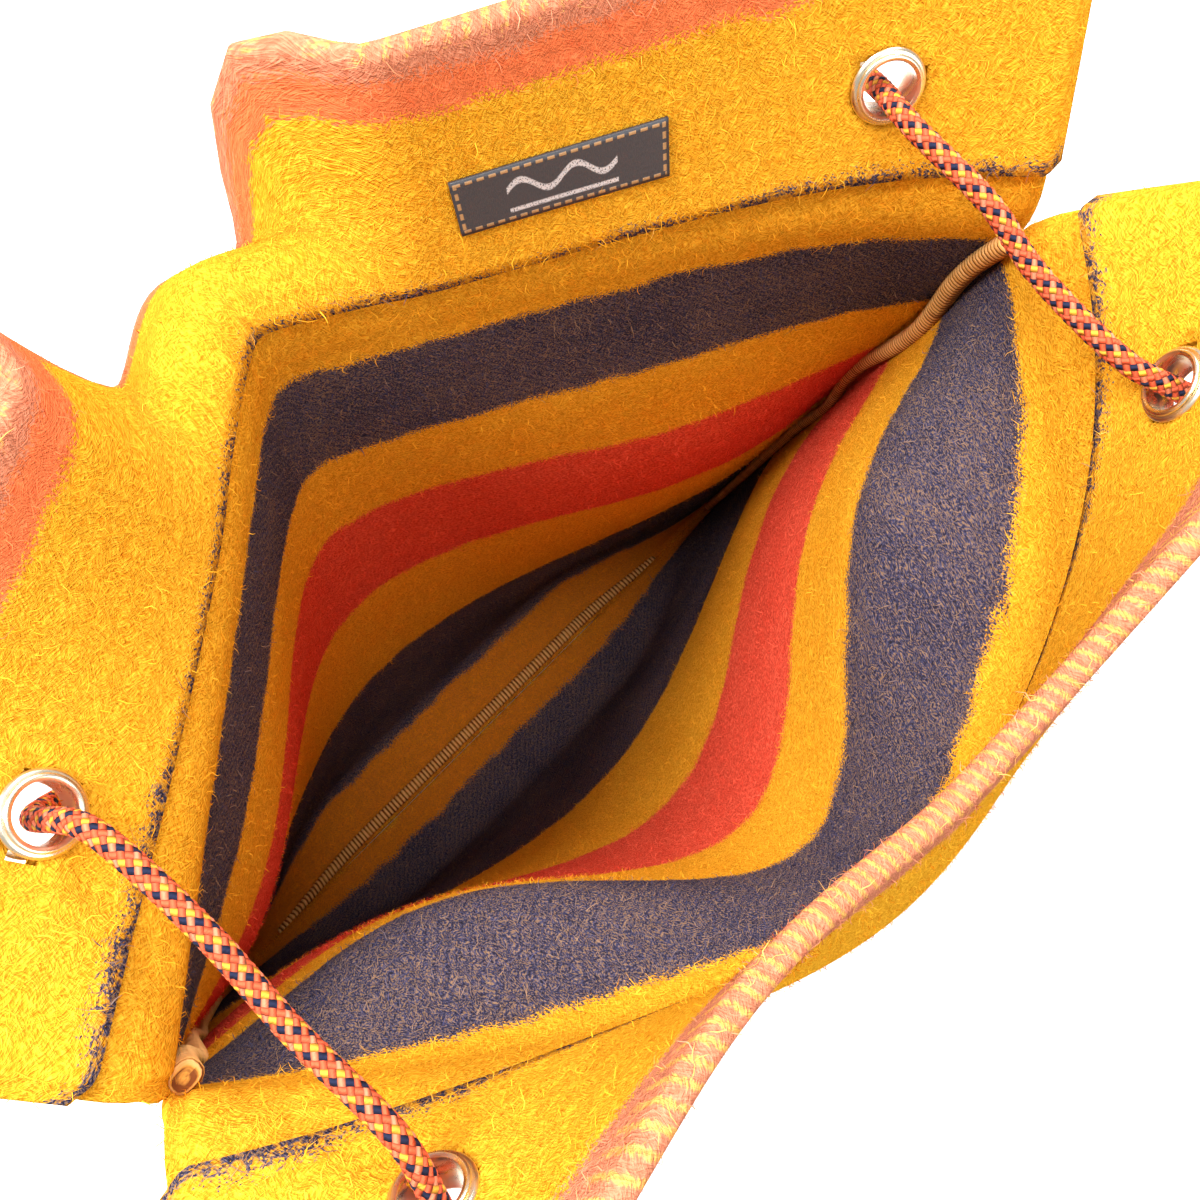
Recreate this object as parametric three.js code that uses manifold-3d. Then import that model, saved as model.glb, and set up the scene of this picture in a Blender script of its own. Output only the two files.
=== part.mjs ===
// Shoulder bag of striped wool blanket cloth with its mouth pulled open. Millimetres, +Z up.
// +X runs along the width, +Y points to the back panel, which carries the label. The bag stands
// on its flattened bottom. Each panel is one sheet: it rises from the bottom seam, folds over at
// the top and comes down inside as a facing. A place on a panel is given by u, the distance from
// its middle, and v, the distance from its bottom edge, both measured along the cloth.
import * as THREE from 'three';
import { mergeVertices } from 'three/addons/utils/BufferGeometryUtils.js';
import Module from 'manifold-3d';

// Cut and make of the two panels
const clothThickness = 3;
const panelWidth = 380;
const panelHeight = 472;
const facingDepth = 65;
const ventDepth = 84;
const ventHeight = panelHeight - ventDepth;
const layerGap = 0.4;
const seamGap = 0.3;

// How the cloth stands: a flat strip on the ground, a turn, then a wall that leans outwards
const flatStrip = { back: 24.5, front: 27.5 };
const bottomTurn = 20;
const wallLeanAngle = { back: 13, front: 11.1 };
const footShare = 0.42;
const footFade = [15, 110];
const cornerLift = { left: 13, right: 8 };
const cornerLiftStartShare = 0.4;
const sidewaysLean = 17;
const seamRiseShare = 0.955;
const edgeRadius = 4;

// Shape of a level section: a bell low down, which draws straight to a crease at the mouth
const creaseOffset = { back: -25, front: 13.5 };
const creaseStart = { back: 211, front: 331 };
const creaseRadius = { back: 8, front: 97 };
const bellPower = { back: [0.75, 1.71], front: [0.6, 2.11] };
const bellChange = [120, 320];

// How far each half of a section bulges from that line towards the top of the side seams
const bulgeStart = 150;
const bulgeOut = { back: { left: 2.5, right: 11 }, front: { left: 5, right: 11.5 } };
const bulgeUp = { back: { left: -13, right: 0.5 }, front: { left: -1.5, right: 6.5 } };

// Collar above the side seams: lean in degrees at the crease and at the left and right edges
const collarLeanAngle = { back: [26, 84, 45], front: [-25, 78, 45] };
const collarLeanPower = 2.38;
const collarRollIn = 18.5;
const collarSplayShare = 0.6;
const lipFoldAngle = 128;
const lipFoldStart = 13;
const lipFoldLength = 32;
const lipFoldHalfWidth = { left: 46, right: 42 };

// Middle of the bag's box as seen from the middle of the side seams
const boxMiddle = { x: 6.2, y: 26.75 };

// Eyelets
const eyeletFromEdge = 44;
const eyeletFromFold = 39.5;
const eyeletHeight = panelHeight - eyeletFromFold;
const eyeletBore = 13.5;
const eyeletWall = 0.6;
const eyeletFlange = 19;
const flangeThickness = 1.2;
const eyeletClearance = 0.3;
const flangeSeat = 0.4;
const eyeletRim = 0.7;
const rimOverhang = 1;
const rimChamfer = 0.3;
const flangeChamfer = 0.5;

// Label sewn to the back facing
const labelWidth = 56;
const labelHeight = 16;
const labelThickness = 0.8;
const labelFromMiddle = 64.5;
const labelFromFold = 41;
const labelSeat = 0.3;

// Overlocked seam allowances, which stand up inside as soft bands
const bandWidth = 6;
const bandThickness = 4.4;
const bandSeat = 0.4;
const bottomBandSeat = 1;
const bandEndClearance = 12;
const bottomBandFromSide = 48;
const bandRoundness = 0.7;

// Braided shoulder cord: it crosses inside the mouth at each side and hangs outside each panel
const cordDiameter = 6;
const strapLength = 570;
const strapBelly = { back: 84, front: 82 };
const crossSag = 1;
const cordBend = 22;
const cordBearingGap = 0.75;
const strapLeanInShare = 0.19;
const strapLeanOutShare = 0.1;
const knotLength = 18;
const knotDiameter = 15;
const knotClearance = 1.4;

// Cells of the meshes
const cellRows = { foot: 9, wall: 12, vent: 2, collar: 8, fold: 4 };
const cellColumns = 24;
const columnGather = 0.4;
const labelCells = { columns: 6, rows: 3 };
const turnSteps = 24;
const bandSteps = { side: 24, bottom: 30, around: 10 };
const strapSteps = { back: 8, front: 9 };
const collarStep = 3;
const cordSides = 8;
const knotSteps = { around: 12, along: 8 };

const material = (color, roughness, metalness = 0) => (
  new THREE.MeshStandardMaterial({ color, roughness, metalness })
);
const clothYellow = () => material(0xf2a81c, 0.95);
const overlockTan = () => material(0xd9a045, 0.85);
const paleBrass = () => material(0xd9c08a, 0.3, 1);
const labelGrey = () => material(0x45454a, 0.55);
const cordOrange = () => material(0xe8603c, 0.75);

const wasm = await Module();
wasm.setup();

const clamp01 = (value) => THREE.MathUtils.clamp(value, 0, 1);
const { degToRad, lerp, smoothstep } = THREE.MathUtils;
const outward = { back: 1, front: -1 };
const profileStep = 1;

// Path of the crease line in its upright plane: how far out and how high it is after each step
function creaseProfile(side) {
  const outs = [0];
  const ups = [0];
  for (let v = 0; v < panelHeight; v += profileStep) {
    const turned = smoothstep(v + profileStep / 2, flatStrip[side], flatStrip[side] + bottomTurn);
    const angle = degToRad(90 - wallLeanAngle[side]) * turned;
    outs.push(outs.at(-1) + Math.cos(angle) * profileStep);
    ups.push(ups.at(-1) + Math.sin(angle) * profileStep);
  }
  return { outs, ups };
}

const profiles = { back: creaseProfile('back'), front: creaseProfile('front') };

function alongProfile(list, v) {
  const place = Math.min(v / profileStep, list.length - 1);
  const low = Math.min(Math.floor(place), list.length - 2);
  return lerp(list[low], list[low + 1], place - low);
}

// Half the distance between the side seams: the width of cloth less what the opening draws in
function halfChord(v) {
  const out = (alongProfile(profiles.back.outs, v) + alongProfile(profiles.front.outs, v)) / 2;
  return Math.sqrt((panelWidth / 2) ** 2 - out ** 2);
}

const seamHeight = (v) => clothThickness / 2 + seamRiseShare * v;
const liftAt = (hand) => (hand < 0 ? cornerLift.left : cornerLift.right);
const leanAt = (v) => (sidewaysLean * v) / ventHeight;

// Distance across the cloth from the crease to the edge on the side where u lies
function creaseReach(side, u) {
  const edge = panelWidth / 2 - (Math.PI / 2) * edgeRadius;
  return u > creaseOffset[side] ? edge - creaseOffset[side] : edge + creaseOffset[side];
}

// Place between the crease, 0, and the edge, 1
const fromCreaseToEdge = (side, u) => (
  Math.min(Math.abs(u - creaseOffset[side]) / creaseReach(side, u), 1)
);

// Share of the bulge, which has its top at two thirds of the way to the edge
function bulging(side, u, v) {
  const q = fromCreaseToEdge(side, u);
  return 6.75 * q * q * (1 - q) * smoothstep(v, bulgeStart, ventHeight);
}

// Share of the full opening that a section has at a place across it, 1 at the crease and 0 at a seam
function opening(side, u, v) {
  const edge = panelWidth / 2 - (Math.PI / 2) * edgeRadius;
  const reach = creaseReach(side, u);
  const q = fromCreaseToEdge(side, u);
  const rise = clamp01((v - bellChange[0]) / (bellChange[1] - bellChange[0]));
  const power = lerp(bellPower[side][0], bellPower[side][1], rise);
  const bell = ((1 + Math.cos(Math.PI * q)) / 2) ** power;
  const foot = 1 - smoothstep(Math.abs(u) / edge, footShare, 1);
  const r = creaseRadius[side] / reach;
  const ridge = (Math.hypot(1, r) - Math.hypot(q, r)) / (Math.hypot(1, r) - r);
  const low = lerp(foot, bell, smoothstep(v, ...footFade));
  return lerp(low, ridge, smoothstep(v, creaseStart[side], ventHeight));
}

// Middle of the cloth's thickness, on the outer layer of a panel
function surface(side, u, v) {
  const body = Math.min(v, ventHeight);
  const height = v - body;
  const edgeArc = (Math.PI / 2) * edgeRadius;
  const flatHalf = panelWidth / 2 - edgeArc;
  const out = alongProfile(profiles[side].outs, body);
  const up = clothThickness / 2 + alongProfile(profiles[side].ups, body);
  const share = opening(side, u, body);
  const w = THREE.MathUtils.clamp(u / flatHalf, -1, 1);
  const fromEdge = Math.min(panelWidth / 2 - Math.abs(u), edgeArc);
  const flatten = smoothstep(height, 0, collarRollIn);
  const rimOut = edgeRadius * Math.sin(Math.min(body / edgeRadius, Math.PI / 2));
  const chord = halfChord(body) - edgeRadius;
  const tail = lerp(edgeRadius * Math.cos(fromEdge / edgeRadius), edgeArc - fromEdge, flatten);
  const x = chord * w + Math.sign(u) * tail + leanAt(body);
  const rim = rimOut * lerp(Math.sin(fromEdge / edgeRadius), 1, flatten);
  const half = u < creaseOffset[side] ? 'left' : 'right';
  const bulge = bulging(side, u, body);
  const y = seamGap / 2 + rim + (out - rimOut) * share + bulge * bulgeOut[side][half];
  const lifted = liftAt(u) * smoothstep(Math.abs(w), cornerLiftStartShare, 1);
  const z = lerp(seamHeight(body), up, share) + lifted + bulge * bulgeUp[side][half];
  const point = new THREE.Vector3(x, y, z);
  return height > 0 ? point.add(collarReach(side, u, height)) : point;
}

// Lean of the collar from upright, outwards, at a height above the top of the side seams
function collarAngle(side, u, height) {
  const [middle, left, right] = collarLeanAngle[side];
  const w = Math.abs(u) / (panelWidth / 2);
  const rolled = Math.min(height / collarRollIn, 1);
  const lean = lerp(middle, u < 0 ? left : right, w ** collarLeanPower) * rolled;
  if (side === 'front') {
    return degToRad(lean);
  }
  const fromCrease = u - creaseOffset.back;
  const across = fromCrease / (fromCrease < 0 ? lipFoldHalfWidth.left : lipFoldHalfWidth.right);
  const folded = smoothstep(height, lipFoldStart, lipFoldStart + lipFoldLength);
  return degToRad(lean + lipFoldAngle * Math.exp(-(across ** 8)) * folded);
}

function collarReach(side, u, height) {
  const steps = Math.ceil(height / collarStep);
  const step = height / steps;
  let out = 0;
  let up = 0;
  for (let i = 0; i < steps; i += 1) {
    const angle = collarAngle(side, u, (i + 0.5) * step);
    out += Math.sin(angle) * step;
    up += Math.cos(angle) * step;
  }
  const splay = new THREE.Vector2((collarSplayShare * u) / (panelWidth / 2), 1).normalize();
  return new THREE.Vector3(out * splay.x, out * splay.y, up);
}

// Unit normal of that surface, pointing into the bag in the panel's own outward-y frame
function inwardNormal(side, u, v) {
  const reach = 0.5;
  const uLow = Math.max(u - reach, -panelWidth / 2);
  const uHigh = Math.min(u + reach, panelWidth / 2);
  const across = surface(side, uHigh, v).sub(surface(side, uLow, v));
  const vLow = Math.max(v - reach, 0);
  const vHigh = Math.min(v + reach, panelHeight);
  const along = surface(side, u, vHigh).sub(surface(side, u, vLow));
  return across.cross(along).normalize();
}

// Moves a point from the outward-y frame of a panel to the bag's own frame. The panels press
// against each other at the seams, so no point of one passes the plane between them.
function placed(side, point) {
  point.y = Math.max(point.y, seamGap / 2) * outward[side] - boxMiddle.y;
  point.x -= boxMiddle.x;
  return point;
}

function placedNormal(side, normal) {
  return new THREE.Vector3(normal.x, normal.y * outward[side], normal.z);
}

const foldRadius = (clothThickness + layerGap) / 2;
const foldLength = Math.PI * foldRadius;
const clothLength = panelHeight + foldLength + facingDepth;

// Place in the sheet at s along the cloth, over the fold and down the facing, and t into the bag
function clothPoint(side, u, s, t) {
  if (s <= panelHeight) {
    const normal = inwardNormal(side, u, s);
    return placed(side, surface(side, u, s).addScaledVector(normal, t));
  }
  const turned = Math.min((s - panelHeight) / foldRadius, Math.PI);
  const v = panelHeight - Math.max(s - panelHeight - foldLength, 0);
  const normal = inwardNormal(side, u, v);
  const upward = surface(side, u, v).sub(surface(side, u, v - 1)).normalize();
  const radius = foldRadius - t;
  const point = surface(side, u, v).addScaledVector(normal, foldRadius - radius * Math.cos(turned));
  return placed(side, point.addScaledVector(upward, radius * Math.sin(turned)));
}

const evenly = (from, to, count) => (
  Array.from({ length: count }, (_, i) => lerp(from, to, (i + 1) / count))
);

// Rows of the mesh along the cloth; the facing repeats the collar's rows, so the layers stay apart
function clothRows() {
  const rawEdge = panelHeight - facingDepth;
  const wallStart = Math.max(flatStrip.back, flatStrip.front) + bottomTurn;
  const foldEnd = panelHeight + foldLength;
  return [
    0,
    ...evenly(0, wallStart, cellRows.foot),
    ...evenly(wallStart, ventHeight, cellRows.wall),
    ...evenly(ventHeight, rawEdge, cellRows.vent),
    ...evenly(rawEdge, panelHeight, cellRows.collar),
    ...evenly(panelHeight, foldEnd, cellRows.fold),
    ...evenly(foldEnd, clothLength, cellRows.collar),
  ];
}

// Columns across the cloth, close together at the edges and at the crease
function clothColumns() {
  const half = panelWidth / 2;
  const rim = [0, 0.3, 0.65, 1].map((share) => (share * Math.PI * edgeRadius) / 2);
  const inner = half - rim.at(-1);
  const gathered = (t) => t - (columnGather * Math.sin(2 * Math.PI * t)) / (2 * Math.PI);
  const middle = evenly(-1, 1, cellColumns).slice(0, -1).map((t) => inner * gathered(t));
  return [...rim.map((d) => d - half), ...middle, ...rim.reverse().map((d) => half - d)];
}

// Bends a box of unit cells: its corners take their places from the lists and the given function
function bentSheet(columns, rows, thickness, place) {
  const cells = [columns.length - 1, rows.length - 1];
  const sheet = new THREE.BoxGeometry(cells[0], cells[1], thickness, cells[0], cells[1], 1);
  const position = sheet.attributes.position;
  for (let i = 0; i < position.count; i += 1) {
    const column = columns[Math.round(position.getX(i) + cells[0] / 2)];
    const row = rows[Math.round(position.getY(i) + cells[1] / 2)];
    const point = place(column, row, position.getZ(i));
    position.setXYZ(i, point.x, point.y, point.z);
  }
  return joined(sheet);
}

function joined(geometry) {
  geometry.deleteAttribute('normal');
  geometry.deleteAttribute('uv');
  return mergeVertices(geometry, 1e-4);
}

function flipped(geometry) {
  const index = geometry.index.array;
  for (let i = 0; i < index.length; i += 3) {
    [index[i], index[i + 1]] = [index[i + 1], index[i]];
  }
  return geometry;
}

function toSolid(geometry) {
  const vertProperties = new Float32Array(geometry.attributes.position.array);
  const triVerts = new Uint32Array(geometry.index.array);
  return new wasm.Manifold(new wasm.Mesh({ numProp: 3, vertProperties, triVerts }));
}

function toGeometry(solid) {
  const mesh = solid.getMesh();
  const geometry = new THREE.BufferGeometry();
  geometry.setAttribute('position', new THREE.BufferAttribute(new Float32Array(mesh.vertProperties), 3));
  geometry.setIndex(new THREE.BufferAttribute(new Uint32Array(mesh.triVerts), 1));
  return geometry;
}

// Turns a shape that is built about +Y so that it points along a direction from a place
function aimed(geometry, place, direction) {
  const turn = new THREE.Quaternion().setFromUnitVectors(new THREE.Vector3(0, 1, 0), direction);
  return geometry.applyQuaternion(turn).translate(place.x, place.y, place.z);
}

const stackThickness = 2 * clothThickness + layerGap;
const eyeletTop = stackThickness + flangeSeat + flangeThickness + eyeletClearance + eyeletRim;

// Where an eyelet sits: the point on the outer face of the cloth, and the way into the bag
function eyeletSeat(side, hand) {
  const u = hand * (panelWidth / 2 - eyeletFromEdge);
  const direction = placedNormal(side, inwardNormal(side, u, eyeletHeight)).normalize();
  const middle = placed(side, surface(side, u, eyeletHeight));
  return { place: middle.addScaledVector(direction, -clothThickness / 2), direction };
}

function panel(side) {
  const place = (u, s, t) => clothPoint(side, u, s, t);
  const sheet = bentSheet(clothColumns(), clothRows(), clothThickness, place);
  let solid = toSolid(side === 'back' ? sheet : flipped(sheet));
  for (const hand of [-1, 1]) {
    solid = solid.subtract(toSolid(eyeletSpace(eyeletSeat(side, hand))));
  }
  return toGeometry(solid);
}

function turned(points, place, direction) {
  const profile = points.map(([r, h]) => new THREE.Vector2(r, h));
  return joined(aimed(new THREE.LatheGeometry(profile, turnSteps), place, direction));
}

// Room that the cloth leaves for an eyelet: the hole, and the beds of its flange and washer
function eyeletSpace({ place, direction }) {
  const hole = eyeletBore / 2 + eyeletWall + eyeletClearance;
  const bed = eyeletFlange / 2 + eyeletClearance;
  const flangeBed = eyeletClearance - flangeSeat;
  const washerBed = stackThickness - flangeBed;
  const low = -eyeletFlange;
  const high = stackThickness + eyeletFlange;
  return turned([
    [0, low], [bed, low], [bed, flangeBed], [hole, flangeBed],
    [hole, washerBed], [bed, washerBed], [bed, high], [0, high],
  ], place, direction);
}

// Barrel through both layers, with its flange outside and its rolled rim over the washer inside
function eyelet({ place, direction }) {
  const bore = eyeletBore / 2;
  const barrel = bore + eyeletWall;
  const flange = eyeletFlange / 2;
  const rimStart = eyeletTop - eyeletRim;
  const rimRadius = barrel + rimOverhang;
  const face = -flangeSeat - flangeThickness;
  return turned([
    [bore, face], [flange - flangeChamfer, face], [flange, -flangeSeat], [barrel, -flangeSeat],
    [barrel, rimStart], [rimRadius, rimStart], [rimRadius - rimChamfer, eyeletTop], [bore, eyeletTop],
    [bore, face],
  ], place, direction);
}

function washer({ place, direction }) {
  const inner = eyeletBore / 2 + eyeletWall + eyeletClearance;
  const outer = eyeletFlange / 2;
  const low = stackThickness + flangeSeat;
  const high = low + flangeThickness;
  return turned([
    [inner, low], [outer, low], [outer - flangeChamfer, high], [inner, high],
    [inner, low],
  ], place, direction);
}

function label() {
  const offset = clothThickness + layerGap + clothThickness / 2 + labelSeat + labelThickness / 2;
  const left = labelFromMiddle - labelWidth / 2;
  const low = panelHeight - labelFromFold - labelHeight / 2;
  const columns = [left, ...evenly(left, left + labelWidth, labelCells.columns)];
  const rows = [low, ...evenly(low, low + labelHeight, labelCells.rows)];
  return bentSheet(columns, rows, labelThickness, (u, v, t) => clothPoint('back', u, v, offset + t));
}

// Round-cornered band: a rod with its circle squared off and its places taken from a function
function band(length, rows, place) {
  const rod = new THREE.CylinderGeometry(1, 1, length, bandSteps.around, rows);
  const position = rod.attributes.position;
  for (let i = 0; i < position.count; i += 1) {
    const soft = (value) => Math.sign(value) * Math.abs(value) ** bandRoundness;
    const along = position.getY(i) + length / 2;
    const point = place(along, soft(position.getX(i)), soft(position.getZ(i)));
    position.setXYZ(i, point.x, point.y, point.z);
  }
  return flipped(joined(rod));
}

function sideSeamBand(hand) {
  const length = ventHeight - bandEndClearance;
  const inset = clothThickness / 2 + bandSeat + bandWidth / 2;
  return band(length, bandSteps.side, (along, a, b) => {
    const v = along + bandEndClearance;
    const x = hand * (halfChord(v) - inset) + (a * bandWidth) / 2 + leanAt(v) - boxMiddle.x;
    return new THREE.Vector3(x, (b * bandThickness) / 2 - boxMiddle.y, seamHeight(v) + liftAt(hand));
  });
}

// Lies on the floor strip of the back panel, beside the bottom seam
function bottomSeamBand() {
  const length = panelWidth - 2 * bottomBandFromSide;
  const offset = clothThickness / 2 + bottomBandSeat + bandThickness / 2;
  return band(length, bandSteps.bottom, (along, a, b) => {
    const v = bandThickness / 2 + (1 + a) * (bandWidth / 2);
    return clothPoint('back', along - length / 2, v, offset + (b * bandThickness) / 2);
  });
}

// Where a strap hangs: a catenary between its two ends, held off in the middle by the panel's bulge
function strap(side, right, left) {
  const half = (right.x - left.x) / 2;
  let low = 1;
  let high = strapLength;
  for (let i = 0; i < 40; i += 1) {
    const guess = (low + high) / 2;
    if (guess * Math.sinh(half / guess) > strapLength / 2) {
      low = guess;
    } else {
      high = guess;
    }
  }
  return evenly(-1, 1, strapSteps[side]).slice(0, -1).map((t) => {
    const along = (t * strapLength) / 2;
    const x = low * Math.asinh(along / low);
    const rise = Math.hypot(low, along) - Math.hypot(low, strapLength / 2);
    const across = (x / half + 1) / 2;
    const belly = outward[side] * strapBelly[side] - boxMiddle.y;
    const y = lerp(lerp(right.y, left.y, across), belly, 1 - (x / half) ** 2);
    return new THREE.Vector3((right.x + left.x) / 2 - x, y, lerp(right.z, left.z, across) + rise);
  });
}

// Places on the cord from inside an eyelet, through it and round to hang outside. The cord lies
// against the barrel on the side to which the stretch inside and the hanging strap pull it.
function throughEyelet({ place, direction }, opposite) {
  const out = direction.clone().negate();
  const leanIn = -strapLeanInShare * Math.sign(place.x);
  const down = new THREE.Vector3(leanIn, strapLeanOutShare * Math.sign(out.y), -1).normalize();
  const across = opposite.place.clone().sub(place).normalize();
  const pull = across.clone().add(down).projectOnPlane(direction);
  const bearing = pull.setLength((eyeletBore - cordDiameter) / 2 - cordBearingGap);
  const along = (offset) => place.clone().add(bearing).addScaledVector(direction, offset);
  const inside = bend(along(eyeletTop), direction, across);
  const outside = bend(along(-flangeSeat - flangeThickness), out, down);
  return [...inside.reverse(), along(stackThickness / 2), ...outside];
}

// Middle of a round bend that starts at a place, from one direction into another, and a place past it
function bend(start, from, to) {
  const half = from.angleTo(to) / 2;
  const corner = start.clone().addScaledVector(from, cordBend * Math.tan(half));
  const end = corner.clone().addScaledVector(to, cordBend * (Math.tan(half) + 1));
  const inwards = to.clone().sub(from).setLength(cordBend / Math.cos(half) - cordBend);
  return [corner.add(inwards), end];
}

function crossing(from, to) {
  const middle = from.clone().lerp(to, 0.5);
  return middle.setZ(middle.z - crossSag);
}

function cordRoute() {
  const backRight = throughEyelet(eyeletSeat('back', 1), eyeletSeat('front', 1));
  const frontRight = throughEyelet(eyeletSeat('front', 1), eyeletSeat('back', 1));
  const frontLeft = throughEyelet(eyeletSeat('front', -1), eyeletSeat('back', -1));
  const backLeft = throughEyelet(eyeletSeat('back', -1), eyeletSeat('front', -1));
  const backStrap = strap('back', backRight.at(-1), backLeft.at(-1));
  const middle = Math.floor(backStrap.length / 2);
  const knot = backStrap[middle];
  const knotEnd = (hand) => knot.clone().setX(knot.x + hand * (knotLength / 2 + knotClearance));
  const places = [
    knotEnd(1), ...backStrap.slice(0, middle).reverse(), ...backRight.toReversed(),
    crossing(backRight[0], frontRight[0]), ...frontRight,
    ...strap('front', frontRight.at(-1), frontLeft.at(-1)), ...frontLeft.toReversed(),
    crossing(frontLeft[0], backLeft[0]), ...backLeft,
    ...backStrap.slice(middle + 1).reverse(), knotEnd(-1),
  ];
  return { places, knot };
}

function roundCord(places, diameter, steps) {
  const route = new THREE.CatmullRomCurve3(places, false, 'centripetal');
  route.getPointAt = route.getPoint;
  route.getTangentAt = route.getTangent;
  const section = new THREE.Shape();
  section.absarc(0, 0, diameter / 2, 0, 2 * Math.PI);
  const curveSegments = cordSides / 2;
  const settings = { steps, curveSegments, bevelEnabled: false, extrudePath: route };
  return joined(new THREE.ExtrudeGeometry(section, settings));
}

const bag = new THREE.Group();

function addPart(name, geometry, finish) {
  const mesh = new THREE.Mesh(geometry, finish);
  mesh.name = name;
  bag.add(mesh);
}

addPart('back_panel', panel('back'), clothYellow());
addPart('front_panel', panel('front'), clothYellow());
addPart('left_seam_band', sideSeamBand(-1), overlockTan());
addPart('right_seam_band', sideSeamBand(1), overlockTan());
addPart('bottom_seam_band', bottomSeamBand(), overlockTan());
addPart('label', label(), labelGrey());
for (const side of ['back', 'front']) {
  for (const [hand, word] of [[-1, 'left'], [1, 'right']]) {
    const seat = eyeletSeat(side, hand);
    addPart(`${side}_${word}_eyelet`, eyelet(seat), paleBrass());
    addPart(`${side}_${word}_washer`, washer(seat), paleBrass());
  }
}

const { places, knot } = cordRoute();
addPart('shoulder_cord', roundCord(places, cordDiameter, 2 * (places.length - 1)), cordOrange());
const knotBall = new THREE.SphereGeometry(0.5, knotSteps.around, knotSteps.along);
knotBall.scale(knotLength, knotDiameter, knotDiameter).translate(knot.x, knot.y, knot.z);
addPart('cord_knot', joined(knotBall), cordOrange());

export default bag;
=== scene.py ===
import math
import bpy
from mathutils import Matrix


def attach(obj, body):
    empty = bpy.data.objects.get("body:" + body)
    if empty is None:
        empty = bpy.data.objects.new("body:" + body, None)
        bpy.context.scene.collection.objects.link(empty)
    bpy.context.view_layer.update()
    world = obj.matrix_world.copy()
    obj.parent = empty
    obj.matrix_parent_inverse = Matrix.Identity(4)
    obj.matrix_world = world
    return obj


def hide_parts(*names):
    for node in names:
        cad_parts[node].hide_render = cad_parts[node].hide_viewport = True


bl_info = {
    "name": "Wool blanket shoulder bag",
    "version": (1, 0, 0),
    "blender": (4, 5, 0),
    "location": "View3D > Sidebar > Blanket bag",
    "description": "Striped wool shoulder bag: cloth, seams, eyelets, label and cord",
    "category": "Object",
}

from functools import partial

import bmesh
import bpy
import numpy as np
from bpy.props import FloatProperty, FloatVectorProperty, IntProperty, PointerProperty
from mathutils import Matrix, Vector

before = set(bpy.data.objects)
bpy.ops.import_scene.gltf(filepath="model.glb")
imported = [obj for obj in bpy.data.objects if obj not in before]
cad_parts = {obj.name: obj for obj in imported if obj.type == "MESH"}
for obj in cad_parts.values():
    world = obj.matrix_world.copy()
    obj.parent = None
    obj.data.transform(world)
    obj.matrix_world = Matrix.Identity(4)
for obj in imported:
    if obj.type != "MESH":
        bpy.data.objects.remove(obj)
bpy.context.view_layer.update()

MM = 0.001

# The bag as it is cut and as it stands, in millimetres, as in the CAD model
THICKNESS = 3.0
WIDTH = 380.0
HEIGHT = 472.0
FACING = 65.0
VENT = 388.0
LAYER_GAP = 0.4
SEAM_GAP = 0.3
FLAT_STRIP = {"back": 24.5, "front": 27.5}
BOTTOM_TURN = 20.0
WALL_LEAN = {"back": 13.0, "front": 11.1}
FOOT_SHARE = 0.42
FOOT_FADE = (15.0, 110.0)
CORNER_LIFT = (13.0, 8.0)
CORNER_LIFT_START = 0.4
SIDEWAYS_LEAN = 17.0
SEAM_RISE = 0.955
EDGE_RADIUS = 4.0
CREASE_OFFSET = {"back": -25.0, "front": 13.5}
CREASE_START = {"back": 211.0, "front": 331.0}
CREASE_RADIUS = {"back": 8.0, "front": 97.0}
BELL_POWER = {"back": (0.75, 1.71), "front": (0.6, 2.11)}
BELL_POWER_AT = (120.0, 320.0)
COLLAR_LEAN = {"back": (26.0, 84.0, 45.0), "front": (-25.0, 78.0, 45.0)}
COLLAR_LEAN_POWER = 2.38
COLLAR_ROLL_IN = 18.5
COLLAR_SPLAY = 0.6
LIP_FOLD_ANGLE = 128.0
LIP_FOLD_START = 13.0
LIP_FOLD_LENGTH = 32.0
LIP_FOLD_HALF_WIDTH = (46.0, 42.0)
BULGE_OUT = {"back": (2.5, 11.0), "front": (5.0, 11.5)}
BULGE_UP = {"back": (-13.0, 0.5), "front": (-1.5, 6.5)}
BULGE_START = 150.0
BULGE_PEAK = 27 / 4
BOX_MIDDLE = (6.2, 26.75)
OUTWARD = {"back": 1.0, "front": -1.0}
EDGE_ARC = math.pi / 2 * EDGE_RADIUS
FOLD_RADIUS = (THICKNESS + LAYER_GAP) / 2
FOLD_LENGTH = math.pi * FOLD_RADIUS
CLOTH_LENGTH = HEIGHT + FOLD_LENGTH + FACING
STACK = 2 * THICKNESS + LAYER_GAP

# Stripes of each panel, from and to along the cloth. The first band of each panel is no stripe of the
# cloth: it is painted shade, a deeper orange at the bottom where the bag is darkest inside
STRIPES = {
    "back": [
        (0.0, 31.0, "bottom_painted_shade"),
        (31.0, 130.0, "navy"),
        (214.0, 283.5, "red"),
        (330.0, 380.6, "navy"),
        (HEIGHT + 9, HEIGHT + 20, "orange"),
    ],
    "front": [
        (0.0, 14.0, "bottom_painted_shade"),
        (14.0, 130.0, "navy"),
        (214.0, 283.5, "red"),
        (330.0, 374.5, "navy"),
    ],
}
LIP_STRIPE = {"back": (HEIGHT - 12, HEIGHT + 10), "front": (HEIGHT - 9, HEIGHT + 18)}
LIP_DASHES_INSET = (8.0, 6.0)

# Noises of the wool's pattern, in cells to a metre
DRIFT_CELLS = 55
FRAY_CELLS = 1300
SWIRL_CELLS = 170
CLOUD_CELLS = 38
WORN_CELLS = 420
FLUFF_CELLS = 260
# How far the noises shift the stripes and the raw edge, and the pattern's pitches, in metres
DRIFT = 0.006
FRAY = 0.009
SWIRL = 0.0032
TORN = 0.010
EDGE_CURVE = 0.0025
STRIPE_SOFTNESS = 0.0006
TWILL_PITCH = 0.0034
DASH_PITCH = 0.0043
DASH_SLANT = 0.55

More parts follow.
